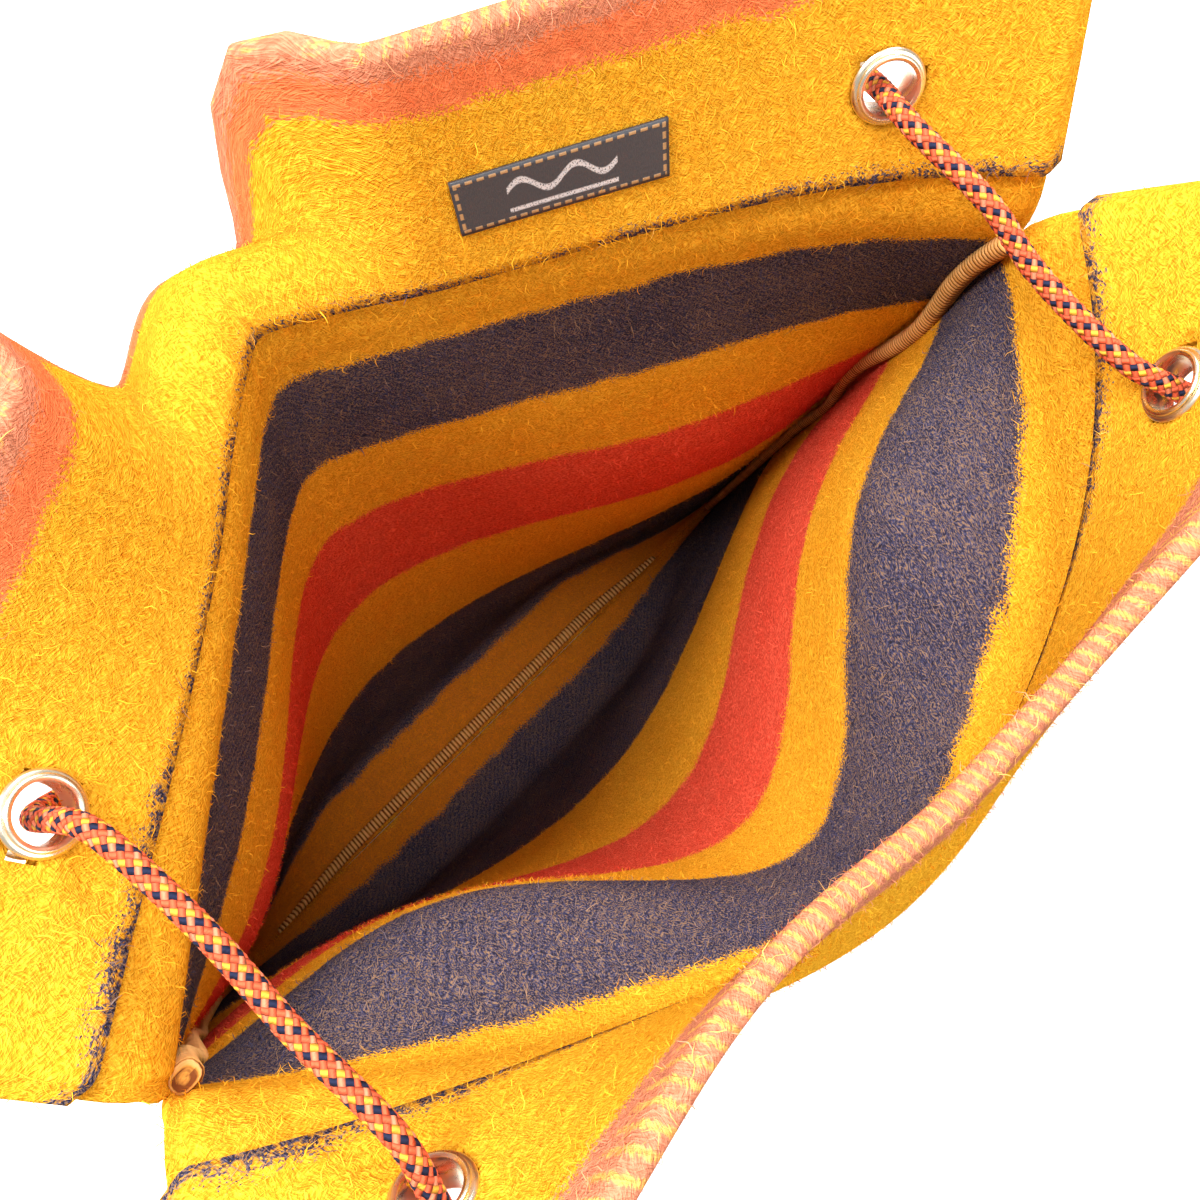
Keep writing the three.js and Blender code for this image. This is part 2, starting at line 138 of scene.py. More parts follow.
# Layers of the wool's fibres: turn in radians, and cells to a metre across and along them
FIBRES_ONE = (0.6, 2300, 520)
FIBRES_TWO = (-0.9, 2500, 600)
FIBRES_SPECK = (0.7, 2400, 1300)

# Loose fibres of the nap, in millimetres
FIBRE_LENGTH = (2.2, 5.2)
FIBRE_WIDTH = (0.07, 0.13)
FIBRE_RISE = 1.5
FIBRE_CURL = 0.9
CLEAR_OF_EYELET = 0.7
CLEAR_OF_LABEL = 0.5
# Root, middle and tip of a fibre: shares of its length, height and width
FIBRE_POINTS = ((0.0, -0.15, 1.0), (0.5, 0.75, 0.8), (1.0, 1.0, 0.25))
INNER_NAP_END = VENT + 24
OUTER_NAP_END = CLOTH_LENGTH - 1
NAP_SEED = {"back": 11, "front": 23}
# The loose fibres take a copy of the wool made 1.15 times as bright: painted sheen, standing in for the
# light that the fuzz catches
NAP_PAINTED_SHEEN = 1.15

EYELET_FROM_EDGE = 44.0
EYELET_HEIGHT = 432.5
EYELET_BORE = 13.5
EYELET_FLANGE = 19.0
HOLE_RADIUS = 8.1
LABEL_SIZE = (56.0, 16.0)
LABEL_CENTRE = (64.5, 431.0)
LABEL_THICKNESS = 0.8
LABEL_SEAT = 0.7
LABEL_CELL = 1.3
STITCH_INSET = 1.1
# The label's marks, in metres
STITCH_PITCH = 0.0030
WAVE_PITCH = 0.0145
WAVE_REACH = 0.0022
WAVE_CENTRE = 0.0012
WAVE_HALF_LINE = 0.0009
MARK_HALF_WIDTH = 0.0145
BAR = (-0.0052, -0.0040)

# Overlocked bands and cord, in millimetres
BAND_WIDTH = 6.0
BAND_THICKNESS = 4.4
BAND_SEAT = 0.4
BOTTOM_BAND_SEAT = 1.0
BAND_END = 12.0
BAND_FULLNESS = 0.45
BAND_FULL_FROM = (VENT - 190, VENT - 60)
BAND_RIB = 0.07
BAND_ROUND_END = 2.5
BAND_LEAST_SIZE = 0.02
BAND_SQUARENESS = 0.75
BAND_SWAY = 2.2
BAND_SWAY_FROM = (160.0, 240.0)
BAND_SWAY_PITCH = 105.0
BOTTOM_BAND_FROM_SIDE = 48.0
SIDE_PITCH = 1.8
BOTTOM_PITCH = 2.2
BRAID_STRANDS = 8
BRAID_LAY = 19.0
BRAID_GROOVE = 0.84
BRAID_HUMP = 0.13

# Places on the cord's route, in millimetres: knot, back right eyelet, front strap, back left, knot
CORD_ROUTE = [
    (20.8, 57.3, 125.1), (69.8, 53.3, 163.2), (103.4, 47.4, 227.6), (124.8, 42.2, 296.7),
    (140.5, 37.6, 367.1), (144.4, 32.5, 399.4), (137.6, 23.5, 410.6), (130.5, 13.1, 418.0),
    (127.7, -17.3, 421.5), (127.2, -27.4, 418.6), (126.6, -37.6, 417.7), (126.3, -67.1, 419.3),
    (132.7, -78.8, 417.0), (141.6, -93.8, 408.2), (137.9, -101.4, 372.8), (125.0, -102.5, 310.6),
    (107.9, -103.9, 249.4), (83.2, -105.9, 190.9), (41.9, -108.2, 143.2), (-18.1, -108.1, 142.4),
    (-59.4, -104.5, 189.0), (-84.1, -100.5, 246.9), (-101.2, -96.9, 307.6), (-114.2, -93.6, 369.4),
    (-118.9, -87.8, 401.7), (-115.2, -76.1, 411.9), (-111.3, -63.4, 417.7), (-111.8, -33.0, 413.7),
    (-111.2, -20.6, 412.4), (-110.5, -8.1, 413.0), (-113.3, 23.2, 405.0), (-119.6, 32.0, 392.8),
    (-123.9, 36.6, 381.8), (-119.6, 40.2, 352.5), (-104.0, 44.0, 283.9), (-82.5, 48.4, 217.2),
    (-48.9, 53.6, 156.5), (0.0, 57.3, 125.1),
]
KNOT_PLACE = (10.4, 57.3, 125.1)
KNOT_SIZE = (18.0, 15.0, 15.0)
CORD_STEP = 0.85

# Camera: place in metres, turn about the axes, and the photo's focal length in its own pixels
CAMERA_PLACE = (-0.07075, -0.01345, 0.6619)
CAMERA_TURN = (-0.171, 0.185, -0.022)
CAMERA_ROLL = math.radians(46)
CAMERA_FOCAL_PX = 1183.6
PHOTO_PX = 1200
SENSOR_WIDTH = 36
FLOOR_HALF_SIZE = 6

# Area lights: place and size in metres, and power in watts
LIGHTS = {
    "key": ((-0.75, 0.96, 1.76), 0.9, 63),
    "fill": ((1.13, 0.73, 1.64), 1.0, 36),
    "side": ((0.0, -1.46, 1.52), 1.0, 12),
    "top": ((0.0, 0.0, 2.2), 0.8, 15),
}
LIGHT_AIM = (0, 0, 0.3)
WORLD_STRENGTH = 0.5


def smooth_step(value, low, high):
    t = np.clip((value - low) / (high - low), 0, 1)
    return t * t * (3 - 2 * t)


def crease_profile(side):
    """How far out and how high the crease line is after each millimetre of cloth."""
    v = np.arange(0, int(HEIGHT), 1.0) + 0.5
    turned = smooth_step(v, FLAT_STRIP[side], FLAT_STRIP[side] + BOTTOM_TURN)
    angle = np.radians(90 - WALL_LEAN[side]) * turned
    return [np.concatenate([[0], np.cumsum(f(angle))]) for f in (np.cos, np.sin)]


PROFILE = {side: crease_profile(side) for side in OUTWARD}
PROFILE_AT = np.arange(0, int(HEIGHT) + 1, 1.0)


def half_chord(v):
    out = sum(np.interp(v, PROFILE_AT, PROFILE[side][0]) for side in OUTWARD) / 2
    return np.sqrt((WIDTH / 2) ** 2 - out**2)


def from_crease(side, u):
    """Way from the crease to the side that u lies towards, and u's share of it."""
    edge = WIDTH / 2 - EDGE_ARC
    crease = CREASE_OFFSET[side]
    reach = np.where(u > crease, edge - crease, edge + crease)
    return reach, np.minimum(np.abs(u - crease) / reach, 1)


def opening_share(side, u, v):
    """1 at the crease and 0 at the side seams: how far the cloth stands open."""
    reach, q = from_crease(side, u)
    low_power, high_power = BELL_POWER[side]
    rise = np.clip((v - BELL_POWER_AT[0]) / (BELL_POWER_AT[1] - BELL_POWER_AT[0]), 0, 1)
    power = low_power + (high_power - low_power) * rise
    bell = np.maximum((1 + np.cos(np.pi * q)) / 2, 1e-9) ** power
    foot = 1 - smooth_step(np.abs(u) / (WIDTH / 2 - EDGE_ARC), FOOT_SHARE, 1)
    r = CREASE_RADIUS[side] / reach
    ridge = (np.hypot(1, r) - np.hypot(q, r)) / (np.hypot(1, r) - r)
    blend = smooth_step(v, *FOOT_FADE)
    low = foot + (bell - foot) * blend
    return low + (ridge - low) * smooth_step(v, CREASE_START[side], VENT)


def collar_reach(side, u, height):
    """Way that the collar goes from the top of the side seams: outwards and up."""
    middle, left, right = COLLAR_LEAN[side]
    w = np.abs(u) / (WIDTH / 2)
    lean = middle + (np.where(u < 0, left, right) - middle) * w**COLLAR_LEAN_POWER
    fold = 0
    if side == "back":
        offset = u - CREASE_OFFSET["back"]
        across = offset / np.where(offset < 0, *LIP_FOLD_HALF_WIDTH)
        fold = LIP_FOLD_ANGLE * np.exp(-(across**8))
    out = np.zeros_like(u)
    up = np.zeros_like(u)
    steps = 28
    step = height / steps
    for i in range(steps):
        at = (i + 0.5) * step
        angle = lean * np.minimum(at / COLLAR_ROLL_IN, 1)
        angle = angle + fold * smooth_step(at, LIP_FOLD_START, LIP_FOLD_START + LIP_FOLD_LENGTH)
        out += np.sin(np.radians(angle)) * step
        up += np.cos(np.radians(angle)) * step
    splay = COLLAR_SPLAY * u / (WIDTH / 2)
    length = np.hypot(splay, 1)
    return np.stack([out * splay / length, out / length, up], -1)


def surface(side, u, v):
    """Middle of the outer layer at u across and v up the cloth, with y outwards from the seams."""
    u, v = np.broadcast_arrays(np.asarray(u, float), np.asarray(v, float))
    body = np.minimum(v, VENT)
    height = v - body
    flat_half = WIDTH / 2 - EDGE_ARC
    out = np.interp(body, PROFILE_AT, PROFILE[side][0])
    up = THICKNESS / 2 + np.interp(body, PROFILE_AT, PROFILE[side][1])
    share = opening_share(side, u, body)
    w = np.clip(u / flat_half, -1, 1)
    from_edge = np.clip(WIDTH / 2 - np.abs(u), 0, EDGE_ARC)
    flatten = smooth_step(height, 0, COLLAR_ROLL_IN)
    rim_out = EDGE_RADIUS * np.sin(np.minimum(body / EDGE_RADIUS, np.pi / 2))
    tail = EDGE_RADIUS * np.cos(from_edge / EDGE_RADIUS) * (1 - flatten) + (EDGE_ARC - from_edge) * flatten
    x = (half_chord(body) - EDGE_RADIUS) * w + np.sign(u) * tail + SIDEWAYS_LEAN * body / VENT
    rim = rim_out * (np.sin(from_edge / EDGE_RADIUS) * (1 - flatten) + flatten)
    y = SEAM_GAP / 2 + rim + (out - rim_out) * share
    _, q = from_crease(side, u)
    bulge = BULGE_PEAK * q * q * (1 - q) * smooth_step(body, BULGE_START, VENT)
    left = u < CREASE_OFFSET[side]
    y = y + bulge * np.where(left, *BULGE_OUT[side])
    lift = np.where(u < 0, *CORNER_LIFT) * smooth_step(np.abs(w), CORNER_LIFT_START, 1)
    seam_up = THICKNESS / 2 + SEAM_RISE * body
    z = seam_up + (up - seam_up) * share + lift + bulge * np.where(left, *BULGE_UP[side])
    return np.stack([x, y, z], -1) + collar_reach(side, u, height)


def unit(vectors):
    return vectors / np.linalg.norm(vectors, axis=-1, keepdims=True)


def inward_normal(side, u, v):
    reach = 0.5
    right = surface(side, np.minimum(u + reach, WIDTH / 2), v)
    left = surface(side, np.maximum(u - reach, -WIDTH / 2), v)
    above = surface(side, u, np.minimum(v + reach, HEIGHT))
    below = surface(side, u, np.maximum(v - reach, 0))
    return unit(np.cross(right - left, above - below))


def placed(side, points):
    """Points of a panel's outward-y frame in the bag's own frame, in metres."""
    points = points.copy()
    points[..., 1] = np.maximum(points[..., 1], SEAM_GAP / 2) * OUTWARD[side] - BOX_MIDDLE[1]
    points[..., 0] -= BOX_MIDDLE[0]
    return points * MM


def cloth(side, u, s, t):
    """Place at s along the cloth, over the fold and down the facing, and t into the bag."""
    u, s, t = np.broadcast_arrays(np.asarray(u, float), np.asarray(s, float), np.asarray(t, float))
    past = s - HEIGHT
    turned = np.clip(past / FOLD_RADIUS, 0, np.pi)
    v = np.where(past > 0, HEIGHT - np.maximum(past - FOLD_LENGTH, 0), s)
    base = surface(side, u, v)
    normal = inward_normal(side, u, v)
    upward = unit(base - surface(side, u, v - 1))
    radius = FOLD_RADIUS - t
    offset = np.where(past > 0, FOLD_RADIUS - radius * np.cos(turned), t)
    rise = np.where(past > 0, radius * np.sin(turned), 0)
    return placed(side, base + normal * offset[..., None] + upward * rise[..., None])


def eyelet_seat(side, hand):
    """Centre of an eyelet on the outer face of the cloth, and the way into the bag."""
    u = np.array([hand * (WIDTH / 2 - EYELET_FROM_EDGE)])
    v = np.array([EYELET_HEIGHT])
    direction = inward_normal(side, u, v)[0] * (1, OUTWARD[side], 1)
    middle = placed(side, surface(side, u, v))[0]
    return middle - direction * THICKNESS / 2 * MM, direction


def new_object(name, mesh, material=None):
    thing = bpy.data.objects.new(name, mesh)
    bpy.context.scene.collection.objects.link(thing)
    if material:
        mesh.materials.append(material)
    return thing


def sheet_mesh(name, columns, rows, place, wrap=False):
    """Grid whose corners take their places from a function, with a UV map of the cloth's own metres."""
    bm = bmesh.new()
    bmesh.ops.create_grid(bm, x_segments=len(columns) - 1, y_segments=len(rows) - 1, size=0.5)
    mesh = bpy.data.meshes.new(name)
    bm.to_mesh(mesh)
    bm.free()
    count = len(mesh.vertices)
    flat = np.empty(count * 3)
    mesh.vertices.foreach_get("co", flat)
    flat = flat.reshape(-1, 3)
    column = np.rint((flat[:, 0] + 0.5) * (len(columns) - 1)).astype(int)
    row = np.rint((flat[:, 1] + 0.5) * (len(rows) - 1)).astype(int)
    a = np.asarray(columns, float)[column]
    b = np.asarray(rows, float)[row]
    mesh.vertices.foreach_set("co", place(a, b).ravel())
    layer = mesh.uv_layers.new(name="cloth")
    corner = np.empty(len(mesh.loops), dtype=np.int64)
    mesh.loops.foreach_get("vertex_index", corner)
    layer.data.foreach_set("uv", np.stack([a[corner], b[corner]], -1).ravel() * MM)
    if wrap:
        bm = bmesh.new()
        bm.from_mesh(mesh)
        bmesh.ops.remove_doubles(bm, verts=bm.verts, dist=1e-6)
        bmesh.ops.holes_fill(bm, edges=bm.edges, sides=0)
        bmesh.ops.recalc_face_normals(bm, faces=bm.faces)
        bm.to_mesh(mesh)
        bm.free()
    mesh.update()
    mesh.shade_smooth()
    return mesh


class Graph:
    """Short ways to write a material's nodes."""

    def __init__(self, name):
        self.material = bpy.data.materials.new(name)
        self.material.use_nodes = True
        self.nodes = self.material.node_tree.nodes
        self.links = self.material.node_tree.links
        self.shader = self.nodes["Principled BSDF"]

    def put(self, socket, value):
        if isinstance(value, bpy.types.NodeSocket):
            self.links.new(value, socket)
        elif hasattr(value, "__len__") and len(value) == 3 and socket.type == "RGBA":
            socket.default_value = (*value, 1)
        else:
            socket.default_value = value

    def node(self, kind, output=0, settings=None, **inputs):
        node = self.nodes.new(kind)
        for key, value in (settings or {}).items():
            setattr(node, key, value)
        for key, value in inputs.items():
            self.put(node.inputs[key.replace("_", " ")], value)
        return node.outputs[output]

    def math(self, operation, a, b=0.0, clamp=False):
        node = self.nodes.new("ShaderNodeMath")
        node.operation = operation
        node.use_clamp = clamp
        self.put(node.inputs[0], a)
        self.put(node.inputs[1], b)
        return node.outputs[0]

    def plus(self, a, b, clamp=False):
        return self.math("ADD", a, b, clamp)

    def minus(self, a, b):
        return self.math("SUBTRACT", a, b)

    def times(self, a, b):
        return self.math("MULTIPLY", a, b)

    def wave(self, value, pitch):
        """Sine with one wave to each pitch."""
        return self.math("SINE", self.times(value, 2 * math.pi / pitch))

    def spread(self, value, low, high, to_low=0.0, to_high=1.0):
        """Low to high stretched over to_low to to_high, and held there beyond them."""
        limits = {"From Min": low, "From Max": high, "To Min": to_low, "To Max": to_high}
        return self.node("ShaderNodeMapRange", Value=value, **limits)

    def scaled(self, vector, factor):
        settings = {"operation": "SCALE"}
        return self.node("ShaderNodeVectorMath", settings=settings, Vector=vector, Scale=factor)

    def shifted(self, vector, shift):
        node = self.nodes.new("ShaderNodeVectorMath")
        self.links.new(vector, node.inputs[0])
        self.links.new(shift, node.inputs[1])
        return node.outputs[0]

    def cloth_map(self):
        return self.node("ShaderNodeUVMap", settings={"uv_map": "cloth"})

    def mix(self, share, a, b):
        node = self.nodes.new("ShaderNodeMix")
        node.data_type = "RGBA"
        self.put(node.inputs[0], share)
        self.put(node.inputs[6], a)
        self.put(node.inputs[7], b)
        return node.outputs[2]

    def noise(self, vector, scale, detail=2.0, roughness=0.5, output=0):
        flat = {"noise_dimensions": "2D"}
        return self.node(
            "ShaderNodeTexNoise", output, flat,
            Vector=vector, Scale=scale, Detail=detail, Roughness=roughness,
        )

    def parts(self, vector):
        node = self.nodes.new("ShaderNodeSeparateXYZ")
        self.links.new(vector, node.inputs[0])
        return node.outputs

    def join(self, x, y, z=0.0):
        node = self.nodes.new("ShaderNodeCombineXYZ")
        for socket, value in zip(node.inputs, (x, y, z)):
            self.put(socket, value)
        return node.outputs[0]

    def ramp(self, share, stops, kind="LINEAR"):
        node = self.nodes.new("ShaderNodeValToRGB")
        node.color_ramp.interpolation = kind
        self.links.new(share, node.inputs[0])
        elements = node.color_ramp.elements
        for i, (place, colour) in enumerate(stops):
            element = elements[i] if i < 2 else elements.new(place)
            element.position = place
            element.color = (*colour, 1)
        return node.outputs[0]

    def band(self, value, low, high, soft):
        """1 between low and high, with soft edges."""
        rise = self.spread(value, low - soft, low + soft)
        fall = self.spread(value, high - soft, high + soft)
        return self.math("SUBTRACT", rise, fall, clamp=True)

    def bump(self, height, strength, distance):
        return self.node("ShaderNodeBump", Height=height, Strength=strength, Distance=distance)

    def finish(self, **values):
        for key, value in values.items():
            self.put(self.shader.inputs[key.replace("_", " ")], value)
        return self.material


def wool(name, side, look, gain=1.0, raised=True):
    """Brushed blanket cloth: stripes, flecked yarns, a diagonal twill, a nap and a raw edge."""
    g = Graph(name)
    uv = g.cloth_map()
    drift = g.times(g.minus(g.noise(uv, DRIFT_CELLS, 2), 0.5), DRIFT)
    fray = g.times(g.minus(g.noise(uv, FRAY_CELLS, 1, 0.75), 0.5), FRAY)
    warped = g.shifted(uv, g.scaled(g.noise(uv, SWIRL_CELLS, 1, output=1), SWIRL))
    u, s, _ = g.parts(uv)
    wu, ws, _ = g.parts(warped)
    at = g.plus(s, g.plus(drift, fray))

    def fibres(turn, wide, long):
        c = math.cos(turn)
        d = math.sin(turn)
        a = g.plus(g.times(wu, c), g.times(ws, d))
        b = g.minus(g.times(ws, c), g.times(wu, d))
        return g.noise(g.join(g.times(a, wide), g.times(b, long)), 1.0, 2, 0.6)

    one = fibres(*FIBRES_ONE)
    two = fibres(*FIBRES_TWO)
    speck = fibres(*FIBRES_SPECK)
    nap = g.times(g.plus(one, two), 0.5)
    loose = g.minus(two, 0.5)
    cloud = g.noise(uv, CLOUD_CELLS, 2, 0.6)
    twill = g.wave(g.plus(wu, ws), TWILL_PITCH)
    lit = g.plus(g.times(g.spread(nap, 0.36, 0.64), 0.75), g.times(cloud, 0.3), clamp=True)
    fleck = g.plus(g.plus(g.times(twill, 0.035), speck), g.times(g.minus(cloud, 0.5), 0.12))

    yarns = [(0.36, look.navy), (0.47, look.navy_blue), (0.53, look.navy_grey), (0.62, look.navy_tan)]
    kinds = {
        "navy": g.ramp(fleck, yarns),
        "red": g.ramp(lit, [(0.0, look.red_dark), (0.5, look.red), (1.0, look.red_light)]),
        # Painted shade at the bottom of the bag, mottled by the nap
        "bottom_painted_shade": g.mix(lit, look.bottom_painted_shade, look.yellow_dark),
        "orange": look.orange,
    }
    colour = g.ramp(lit, [(0.0, look.yellow_dark), (0.45, look.yellow), (1.0, look.yellow_light)])
    for low, high, kind in STRIPES[side]:
        colour = g.mix(g.band(at, low * MM, high * MM, STRIPE_SOFTNESS), colour, kinds[kind])

    # Dark yarns that show in patches along the raw edge, which curves away at the sides
    bend = g.math("POWER", g.math("DIVIDE", g.math("ABSOLUTE", u), WIDTH / 2 * MM), 3.0)
    raw = g.plus(g.plus(at, g.times(loose, TORN)), g.times(bend, EDGE_CURVE))
    worn = g.spread(g.noise(uv, WORN_CELLS, 2), 0.38, 0.5, 0.2)
    edge = g.band(raw, (CLOTH_LENGTH - 1.0) * MM, (CLOTH_LENGTH + 30) * MM, 0.0007)
    colour = g.mix(g.times(edge, worn), colour, kinds["navy"])

    # The lip's stripe, crossed by slanting dashes of yellow yarn
    low, high = LIP_STRIPE[side]
    inside = g.band(at, low * MM, high * MM, 0.0009)
    dash = g.plus(g.wave(g.plus(u, g.times(s, DASH_SLANT)), DASH_PITCH), g.times(loose, 3.2))
    dashes_low = (low + LIP_DASHES_INSET[0]) * MM
    dashes_high = (high - LIP_DASHES_INSET[1]) * MM
    dash = g.times(g.spread(dash, 0.1, 1.0, 0.0, 0.7), g.band(at, dashes_low, dashes_high, 0.0015))
    lip = g.mix(dash, g.mix(lit, look.pink, look.pink_light), look.dash)
    colour = g.mix(inside, colour, lip)

    # Random brightness from the nap; a gain above 1 makes the lighter copy that paints sheen on the loose
    # fibres
    tint = g.scaled(colour, g.spread(nap, 0.38, 0.62, 0.80 * gain, 1.1 * gain))
    if raised:
        height = g.plus(nap, g.times(g.noise(uv, FLUFF_CELLS, 1), 0.5))
        g.finish(Normal=g.bump(height, 0.9, 0.0016))
    return g.finish(Base_Color=tint, Roughness=1.0, Specular_IOR_Level=0.0)


def overlock(name, pitch, tones):
    """Thread wrapped round a seam allowance; tones run from painted shade between the loops to a painted
    highlight on their tops.
    """
    g = Graph(name)
    uv = g.cloth_map()
    around, along, _ = g.parts(uv)
    loops = g.wave(g.plus(along, g.times(around, 0.12)), pitch * MM)
    share = g.plus(g.times(loops, 0.45), g.noise(uv, 1500, 3, 0.6), clamp=True)
    # The ramp paints shade between the loops and a highlight on each loop's top
    colour = g.ramp(share, list(zip((0.12, 0.38, 0.85), tones)))
    bump = g.bump(share, 0.6, 0.0008)
    return g.finish(Base_Color=colour, Roughness=0.9, Specular_IOR_Level=0.1, Normal=bump)


def brass(look):
    g = Graph("pale_brass")
    place = g.node("ShaderNodeTexCoord", output=3)
    rough = g.spread(g.noise(place, 300, 3, 0.6), 0.0, 1.0, 0.18, 0.38)
    return g.finish(Base_Color=look.brass, Metallic=1.0, Roughness=rough)


def satin(look):
    """Woven label: dark ground, stitched border, and a wave over a bar in pale thread."""
    g = Graph("label_satin")
    uv = g.cloth_map()
    u, v, _ = g.parts(uv)
    x = g.minus(u, LABEL_CENTRE[0] * MM)
    y = g.minus(v, LABEL_CENTRE[1] * MM)
    beside = g.math("ABSOLUTE", x)
    above = g.math("ABSOLUTE", y)
    weave = g.noise(g.join(g.times(u, 4000), g.times(v, 1200)), 1.0, 2)
    colour = g.mix(weave, look.label_dark, look.label)

    crest = g.times(g.wave(x, WAVE_PITCH), WAVE_REACH)
    from_crest = g.minus(g.minus(y, crest), WAVE_CENTRE)
    wave = g.band(from_crest, -WAVE_HALF_LINE, WAVE_HALF_LINE, 0.0002)
    bar = g.band(y, *BAR, 0.0002)
    mark = g.times(g.math("MAXIMUM", wave, bar), g.math("LESS_THAN", beside, MARK_HALF_WIDTH))
    ragged = g.math("GREATER_THAN", g.noise(uv, 2600, 1), 0.38)
    colour = g.mix(g.times(mark, ragged), colour, look.label_thread)

    def stitched(away, half, along, other, other_half):
        """Dashes of thread on the two sides that lie half from the middle."""
        line = g.band(away, half - 0.0005, half + 0.0004, 0.0001)
        line = g.times(line, g.math("LESS_THAN", other, other_half + 0.0004))
        return g.times(line, g.math("GREATER_THAN", g.wave(along, STITCH_PITCH), -0.35))

    half_u, half_v = ((size / 2 - STITCH_INSET) * MM for size in LABEL_SIZE)
    sides = stitched(beside, half_u, y, above, half_v)
    ends = stitched(above, half_v, x, beside, half_u)
    stitch = g.math("MAXIMUM", sides, ends)
    colour = g.mix(stitch, colour, look.label_stitch)
    bump = g.bump(g.plus(weave, g.times(stitch, 2)), 0.3, 0.0003)
    return g.finish(Base_Color=colour, Roughness=0.38, Normal=bump)


def braid(look):
    """Round braid: strands run both ways round the cord, in orange, yellow, pale and navy yarn."""
    g = Graph("braided_cord")
    uv = g.cloth_map()
    around, along, _ = g.parts(uv)
    turns = g.times(along, 1 / (BRAID_LAY * MM))
    share = g.times(around, 1 / MM)
    right = g.times(g.plus(share, turns), BRAID_STRANDS)
    left = g.times(g.minus(share, turns), BRAID_STRANDS)
    cell_right = g.math("FLOOR", right)
    cell_left = g.math("FLOOR", left)
    # Whole numbers are added before each remainder, so that no cell's number is negative
    over = g.math("MODULO", g.plus(g.plus(cell_right, cell_left), 4000.5), 2.0)
    over = g.math("GREATER_THAN", over, 1.0)
    palettes = [
        (cell_right, (look.cord_navy, look.cord_yellow, look.cord_orange)),
        (cell_left, (look.cord_orange, look.cord_pink, look.cord_orange)),
    ]
    colours = []
    for cell, palette in palettes:
        index = g.math("MODULO", g.plus(cell, 3000.5), 3.0)
        stops = [(i / 3, c) for i, c in enumerate(palette)]
        colours.append(g.ramp(g.math("DIVIDE", index, 3.0), stops, "CONSTANT"))
    colour = g.mix(over, *colours)
    humps = [g.math("SINE", g.times(g.math("FRACT", way), math.pi)) for way in (right, left)]
    choice = g.nodes.new("ShaderNodeMix")
    for socket, value in zip((0, 2, 3), (over, *humps)):
        g.put(choice.inputs[socket], value)
    hump = choice.outputs[0]
    # Painted shade: each strand's colour darkens towards its edges, down to 0.35 of it in the grooves
    # between strands
    tint = g.scaled(colour, g.spread(hump, 0.0, 0.6, 0.35, 1.0))
    bump = g.bump(g.plus(hump, g.times(g.noise(uv, 4000, 2), 0.3)), 0.9, 0.0009)
    return g.finish(Base_Color=tint, Roughness=0.8, Specular_IOR_Level=0.15, Normal=bump)


def colour_property(name, description, value):
    return FloatVectorProperty(
        name=name, description=description, subtype="COLOR", size=3, min=0, max=1, default=value,
    )


class BagLook(bpy.types.PropertyGroup):
    yellow: colour_property("Yellow", "Ground of the blanket cloth", (0.93, 0.415, 0.022))
    yellow_dark: colour_property("Yellow, deep", "Ground between the fibres", (0.80, 0.275, 0.010))
    yellow_light: colour_property("Yellow, light", "Tips of the yellow fibres", (0.98, 0.54, 0.045))
    red: colour_property("Red", "Red stripes", (0.88, 0.098, 0.052))
    red_dark: colour_property("Red, deep", "Red between the fibres", (0.72, 0.050, 0.028))
    red_light: colour_property("Red, light", "Tips of the red fibres", (0.94, 0.175, 0.095))
    navy: colour_property("Navy", "Darkest yarn of the dark stripes", (0.034, 0.028, 0.040))
    navy_blue: colour_property("Navy, blue yarn", "Blue yarn of the dark stripes", (0.052, 0.054, 0.125))
    navy_grey: colour_property("Navy, grey yarn", "Grey yarn of the dark stripes", (0.108, 0.090, 0.122))
    navy_tan: colour_property("Navy, tan yarn", "Tan yarn of the dark stripes", (0.27, 0.165, 0.105))
    # Painted shade: the deeper orange given to the bottom of each panel
    bottom_painted_shade: colour_property("Amber", "Ground at the bottom", (0.72, 0.20, 0.030))
    orange: colour_property("Lip, inner", "Plain stripe beside the fold", (0.94, 0.215, 0.075))
    pink: colour_property("Lip", "Stripe along the fold at the top", (0.68, 0.205, 0.105))
    pink_light: colour_property("Lip, light", "Tips of the lip's fibres", (0.76, 0.29, 0.165))
    dash: colour_property("Lip dashes", "Yellow yarn that crosses the lip's stripe", (0.95, 0.54, 0.10))
    # Overlock thread, with a painted highlight for the top of each loop and painted shade between the
    # loops
    thread: colour_property("Overlock", "Overlock thread", (0.64, 0.28, 0.050))
    thread_painted_highlight: colour_property("Overlock, light", "Top of each overlock loop", (0.86, 0.47, 0.17))
    thread_shade: colour_property("Overlock, shade", "Between the overlock loops", (0.19, 0.055, 0.015))
    brass: colour_property("Brass", "Eyelets", (0.92, 0.82, 0.62))
    label: colour_property("Label", "Woven label", (0.070, 0.070, 0.078))
    label_dark: colour_property("Label, dark", "Label between its threads", (0.035, 0.035, 0.042))
    label_thread: colour_property("Label thread", "Pale thread of the label's device", (0.60, 0.56, 0.56))
    label_stitch: colour_property("Label stitches", "Thread that sews the label on", (0.42, 0.24, 0.11))
    cord_orange: colour_property("Cord orange", "Main yarn of the cord", (0.82, 0.13, 0.055))
    cord_pink: colour_property("Cord pale", "Pale yarn of the cord", (0.88, 0.25, 0.135))
    cord_yellow: colour_property("Cord yellow", "Yellow yarn of the cord", (0.92, 0.44, 0.05))
    cord_navy: colour_property("Cord navy", "Dark yarn of the cord", (0.018, 0.022, 0.055))


